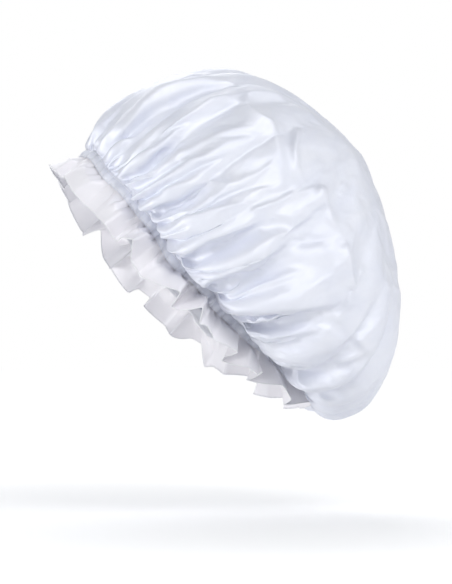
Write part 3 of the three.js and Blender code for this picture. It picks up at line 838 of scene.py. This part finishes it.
def stitches(name, node, out, height, arch):
    """A row of stitches. Each is an arched run of thread whose two ends go into the cloth."""
    count, rings, sides = int(PERIMETER / STITCH_LENGTH), len(STITCH_TAPER), THREAD_SIDES
    along = np.linspace(-STITCH_REACH, STITCH_REACH, rings)
    turn = (np.arange(count)[:, None] + along) / count
    rise = arch * (1 - (along / STITCH_REACH) ** 4) - STITCH_SINK * arch
    over = STITCH_PUCKER * pucker(turn) if arch > 0 else 0
    stray = STITCH_STRAY * np.sin(2 * np.pi * STITCH_STRAYS * turn)
    centre = edge_point(turn, out + rise + over, height + stray)
    first, second = across(np.gradient(centre, axis=1))
    angle = 2 * np.pi * np.arange(sides) / sides
    thick = THREAD_RADIUS * np.array(STITCH_TAPER)[None, :, None, None]
    ring = centre[:, :, None] + thick * (first[:, :, None] * np.cos(angle)[:, None]
                                         + second[:, :, None] * np.sin(angle)[:, None])
    index = np.arange(count * rings * sides).reshape(count, rings, sides)
    a, b = index[:, :-1], index[:, 1:]
    c, d = np.roll(a, -1, axis=2), np.roll(b, -1, axis=2)
    faces = [np.stack([a, b, d], -1).reshape(-1, 3), np.stack([a, d, c], -1).reshape(-1, 3)]
    for end in (index[:, 0, ::-1], index[:, -1]):
        fans = [end[:, [0, j, j + 1]] for j in range(1, sides - 1)]
        faces.append(np.stack(fans, 1).reshape(-1, 3))
    run = turn * PERIMETER
    places = np.stack([np.repeat(run.ravel(), sides), np.tile(angle, count * rings)], 1)
    return add_piece(name, node, tilted(ring.reshape(-1, 3)), np.concatenate(faces), places)


# Tape inside the casing, and the elastic between the tape and the crown's edge
TAPE_THICKNESS, TAPE_OVER, TAPE_END_GAP, TAPE_RIB = 0.4, 0.75, 2.0, 0.05
ELASTIC_WIDTH, ELASTIC_THICKNESS, ELASTIC_RIB = 4.5, 0.6, 0.06
ELASTIC_LAP, ELASTIC_LIFT = 14.0, 16.0
ELASTIC_OUT, ELASTIC_LAP_OUT = 0.7, 1.6
TAPE_COLUMNS, ELASTIC_COLUMNS, BAND_ROWS = 1240, 1260, 9


def band(name, node, turn, inner, thickness, top, bottom, rib):
    """A flat band along the casing, from its inner layer outwards, with cross ribs."""
    columns, heights = len(turn), np.linspace(top, bottom, BAND_ROWS)
    ribs = rib * np.cos(np.pi * np.arange(columns))
    rows = [edge_point(turn, inner + thickness - rib + ribs, h) for h in heights]
    rows += [edge_point(turn, inner + rib - ribs, h) for h in heights[::-1]]
    index = row_numbers(rows, columns)
    faces = []
    for a, b in zip(index, index[1:] + index[:1]):
        faces += [np.stack([a[:-1], b[:-1], b[1:]], 1), np.stack([a[:-1], b[1:], a[1:]], 1)]
    for end in (0, -1):
        loop = [i[end] for i in index]
        loop = loop if end else loop[::-1]
        faces.append(np.array([(loop[0], loop[j], loop[j + 1]) for j in range(1, len(loop) - 1)]))
    places = [np.stack([turn * PERIMETER, np.full(columns, h)], 1) for h in [*heights, *heights[::-1]]]
    return add_piece(name, node, tilted(np.concatenate(rows)), np.concatenate(faces),
                     np.concatenate(places))


def make_tape():
    """The tape's two ends nearly meet at the nape."""
    gap = TAPE_END_GAP / PERIMETER
    turn = np.linspace(gap / 2, 1 - gap / 2, TAPE_COLUMNS)
    return band("casing_tape_cloth", "casing_tape", turn, 0.0, TAPE_THICKNESS,
                TAPE_OVER, -SEAM_SPACING - TAPE_OVER, TAPE_RIB)


def make_elastic():
    """The elastic is one strip, whose last stretch rises over its first."""
    lap, lift = ELASTIC_LAP / PERIMETER, ELASTIC_LIFT / PERIMETER
    turn = np.linspace(-lap / 2, 1 + lap / 2, ELASTIC_COLUMNS)
    layer = ELASTIC_OUT + (ELASTIC_LAP_OUT - ELASTIC_OUT) * np.clip((turn - (1 - lap - lift)) / lift, 0, 1)
    top = (ELASTIC_WIDTH - SEAM_SPACING) / 2
    return band("elastic_braid", "elastic_band", turn, layer, ELASTIC_THICKNESS,
                top, top - ELASTIC_WIDTH, ELASTIC_RIB)


crown = make_crown()
frill, hem_line = make_frill()
hem = hem_bead(hem_line)
tape = make_tape()
elastic = make_elastic()
seams = []
for side, out, arch in (("needle", STITCH_OUT, NEEDLE_ARCH), ("bobbin", BOBBIN_OUT, BOBBIN_ARCH)):
    for row, height in (("upper", UPPER_STITCHES), ("lower", LOWER_STITCHES)):
        seams.append(stitches(f"{row}_seam_{side}_stitches", f"{row}_seam_{side}_thread", out, height, arch))


# Materials, with textures over flat places in mm
NOISE_LOW, NOISE_HIGH = 0.3, 0.7  # most of a noise's values lie between these
ROUND_THREAD = 6.28  # a thread's girth, in radians
FIBRES_PER_METRE = 1500
WHITE = (1, 1, 1, 1)


class Nodes:
    """A material's node tree, with short ways to add nodes to it."""

    def __init__(self, name):
        self.material = bpy.data.materials.new(name)
        self.material.use_nodes = True
        self.tree = self.material.node_tree
        self.shader = self.tree.nodes["Principled BSDF"]

    def put(self, socket, value):
        """Gives an input a value, or links it to another node's output."""
        if isinstance(value, bpy.types.NodeSocket):
            self.tree.links.new(value, socket)
        else:
            socket.default_value = value

    def node(self, kind, values=None, **settings):
        made = self.tree.nodes.new("ShaderNode" + kind)
        for key, value in settings.items():
            setattr(made, key, value)
        for key, value in (values or {}).items():
            self.put(made.inputs[key], value)
        return made

    def set(self, **values):
        for key, value in values.items():
            self.put(self.shader.inputs[key.replace("_", " ")], value)

    def places(self, scale):
        """Flat places on the cloth, in mm, each way divided by a scale."""
        source = self.node("UVMap", uv_map="cloth")
        each = (1 / scale[0], 1 / scale[1], 1)
        return self.node("Mapping", {"Scale": each, "Vector": source.outputs["UV"]}).outputs["Vector"]

    def noise(self, scale, detail, rough=0.5):
        values = {"Scale": 1.0, "Detail": detail, "Roughness": rough, "Vector": self.places(scale)}
        return self.node("TexNoise", values).outputs["Fac"]

    def waves(self, scale, direction, distortion):
        values = {"Scale": 1.0, "Distortion": distortion, "Vector": self.places(scale)}
        return self.node("TexWave", values, wave_type="BANDS", bands_direction=direction).outputs["Fac"]

    def between(self, fac, low, high):
        """A texture spread over the range from low to high."""
        values = {"From Min": NOISE_LOW, "From Max": NOISE_HIGH, "To Min": low, "To Max": high, "Value": fac}
        return self.node("MapRange", values).outputs["Result"]

    def tint(self, fac, low, high):
        made = self.node("ValToRGB", {"Fac": fac})
        for element, position, colour in zip(made.color_ramp.elements, (NOISE_LOW, NOISE_HIGH), (low, high)):
            element.position = position
            element.color = (*colour, 1)
        return made.outputs["Color"]

    def bump(self, height, strength, distance, under=None):
        made = self.node("Bump", {"Strength": strength, "Distance": distance, "Height": height})
        if under:
            self.put(made.inputs["Normal"], under)
        return made.outputs["Normal"]


def shade(colour, part):
    return tuple(part * c for c in colour)


def satin(name, low, high, gloss, lustre):
    """Satin: long glossy floats one way, faint slubs, and soft crumples from handling."""
    m = Nodes(name)
    tangent = m.node("Tangent", direction_type="UV_MAP", uv_map="cloth")
    floats = m.bump(m.noise((2.4, 0.22), detail=1), strength=0.12, distance=0.00012)
    slubs = m.bump(m.noise((40, 0.9), detail=2), strength=0.1, distance=0.00015, under=floats)
    crumples = m.noise((16, 13), detail=3, rough=0.55)
    m.set(Base_Color=m.tint(m.noise((30, 22), detail=3), low, high),
          Roughness=m.between(m.noise((60, 1.6), detail=3), *gloss),
          Anisotropic=0.45, IOR=1.5, Metallic=lustre, Sheen_Weight=0.12, Sheen_Roughness=0.4,
          Tangent=tangent.outputs["Tangent"],
          Normal=m.bump(crumples, strength=0.22, distance=0.0016, under=slubs))
    return m.material


def thread(name, colour):
    """Spun thread: a fine twist round each run."""
    m = Nodes(name)
    twist = m.waves((0.5, ROUND_THREAD), "DIAGONAL", distortion=1.0)
    m.set(Base_Color=m.tint(twist, shade(colour, 0.88), colour), Roughness=0.55,
          Normal=m.bump(twist, strength=0.3, distance=0.00008))
    return m.material


def ribbon(name, colour):
    """Grosgrain tape: fine ribs across it."""
    m = Nodes(name)
    ribs = m.waves((3.2, 3.2), "X", distortion=0.4)
    m.set(Base_Color=m.tint(m.noise((3, 9), detail=3), shade(colour, 0.94), colour), Roughness=0.6,
          Normal=m.bump(ribs, strength=0.35, distance=0.0002))
    return m.material


def braid(name, colour):
    """Knitted elastic: small loops in ribs along it."""
    m = Nodes(name)
    loops = m.node("TexVoronoi", {"Scale": 1.0, "Vector": m.places((1.2, 0.6))}).outputs["Distance"]
    m.set(Base_Color=m.tint(loops, colour, shade(colour, 0.86)), Roughness=0.8,
          Normal=m.bump(loops, strength=0.5, distance=0.0002))
    return m.material


def spun(name, colour):
    """Spun thread, on a node that has no places of its own."""
    m = Nodes(name)
    place = m.node("TexCoord").outputs["Object"]
    fine = m.node("Mapping", {"Scale": [FIBRES_PER_METRE] * 3, "Vector": place}).outputs["Vector"]
    fibres = m.node("TexNoise", {"Scale": 1.0, "Vector": fine}).outputs["Fac"]
    m.set(Base_Color=m.tint(fibres, shade(colour, 0.86), colour), Roughness=0.55,
          Normal=m.bump(fibres, strength=0.3, distance=0.0001))
    return m.material


def wear(made, material):
    made.data.materials.clear()
    made.data.materials.append(material)


CROWN_SATIN = dict(low=(0.81, 0.83, 0.91), high=(0.86, 0.875, 0.935), gloss=(0.54, 0.64), lustre=0.32)
FRILL_SATIN = dict(low=(0.90, 0.885, 0.92), high=(0.94, 0.925, 0.955), gloss=(0.4, 0.5), lustre=0.06)
SEWING_COLOUR, JOIN_COLOUR = (0.95, 0.95, 0.97), (0.9, 0.9, 0.93)
TAPE_COLOUR, ELASTIC_COLOUR = (0.86, 0.86, 0.9), (0.88, 0.88, 0.87)

wear(crown, satin("crown_satin", **CROWN_SATIN))
wear(frill, satin("frill_satin", **FRILL_SATIN))
sewing = thread("sewing_thread", SEWING_COLOUR)
for made in [hem, *seams]:
    wear(made, sewing)
wear(tape, ribbon("casing_ribbon", TAPE_COLOUR))
wear(elastic, braid("elastic_braid", ELASTIC_COLOUR))
for slot in bpy.data.objects["elastic_join_thread"].material_slots:
    slot.material = spun("join_thread", JOIN_COLOUR)


# Floor, its level and reach in mm
FLOOR_LEVEL, FLOOR_REACH = -197.0, 4000
FLOOR_GLOW_NEAR, FLOOR_GLOW_FAR = 0.2, 0.7  # what the camera sees besides the light on the floor
FLOOR_GLOW_FROM, FLOOR_GLOW_TO = 0.15, 1.2  # distances in metres between which it changes
r = FLOOR_REACH
corners = [(x, y, FLOOR_LEVEL) for x, y in ((-r, -r), (r, -r), (r, r), (-r, r))]
floor = mesh_object("floor", corners, [(0, 1, 2, 3)])


def floor_material():
    """Plain pale floor that reads as white to the camera and keeps the shadow."""
    m = Nodes("floor")
    rays = m.node("LightPath").outputs
    seen = m.node("Math", {0: rays["Is Camera Ray"], 1: rays["Is Glossy Ray"]}, operation="MAXIMUM")
    place = m.node("TexCoord").outputs["Object"]
    distance = m.node("VectorMath", {0: place}, operation="LENGTH").outputs["Value"]
    spread = m.node("MapRange", {"From Min": FLOOR_GLOW_FROM, "From Max": FLOOR_GLOW_TO, "Value": distance,
                                 "To Min": FLOOR_GLOW_NEAR, "To Max": FLOOR_GLOW_FAR},
                    interpolation_type="SMOOTHSTEP")
    glow = m.node("Math", {0: seen.outputs["Value"], 1: spread.outputs["Result"]}, operation="MULTIPLY")
    m.set(Base_Color=(0.9, 0.9, 0.9, 1), Roughness=0.9, Emission_Color=WHITE,
          Emission_Strength=glow.outputs["Value"])
    return m.material


wear(floor, floor_material())

# Light: a pale sky that the camera sees as white, and four lamps
SKY_COLOUR, SKY_STRENGTH = (0.92, 0.95, 1, 1), 0.36
LAMPS_AIM = Vector((0, 0.03, 0))
# Name, metres off the camera's aim (away from the camera, right, up), size in metres, watts
LAMPS = [("key", (-1.0, 0.45, 0.85), 0.7, 7.9),
         ("side", (-0.5, -1.0, -0.15), 0.6, 8),
         ("far", (0.9, -0.2, 0.8), 0.8, 7),
         ("right", (-0.3, 1.2, 0.3), 0.6, 2)]

world = bpy.data.worlds.new("studio")
scene.world = world
world.use_nodes = True
nodes, links = world.node_tree.nodes, world.node_tree.links
sky = nodes["Background"]
sky.inputs["Color"].default_value = SKY_COLOUR
sky.inputs["Strength"].default_value = SKY_STRENGTH
white = nodes.new("ShaderNodeBackground")
white.inputs["Color"].default_value = WHITE
path = nodes.new("ShaderNodeLightPath")
mix = nodes.new("ShaderNodeMixShader")
links.new(path.outputs["Is Camera Ray"], mix.inputs["Fac"])
links.new(sky.outputs["Background"], mix.inputs[1])
links.new(white.outputs["Background"], mix.inputs[2])
links.new(mix.outputs["Shader"], nodes["World Output"].inputs["Surface"])

for name, (away, right, up), size, power in LAMPS:
    light = bpy.data.lights.new(name, "AREA")
    light.energy, light.size = power, size
    made = bpy.data.objects.new(name, light)
    scene.collection.objects.link(made)
    place = AIM + LOOK * away + RIGHT * right + UP * up
    made.location = place
    made.rotation_euler = (LAMPS_AIM - Vector(place)).to_track_quat("-Z", "Y").to_euler()

scene.view_settings.view_transform = "Standard"
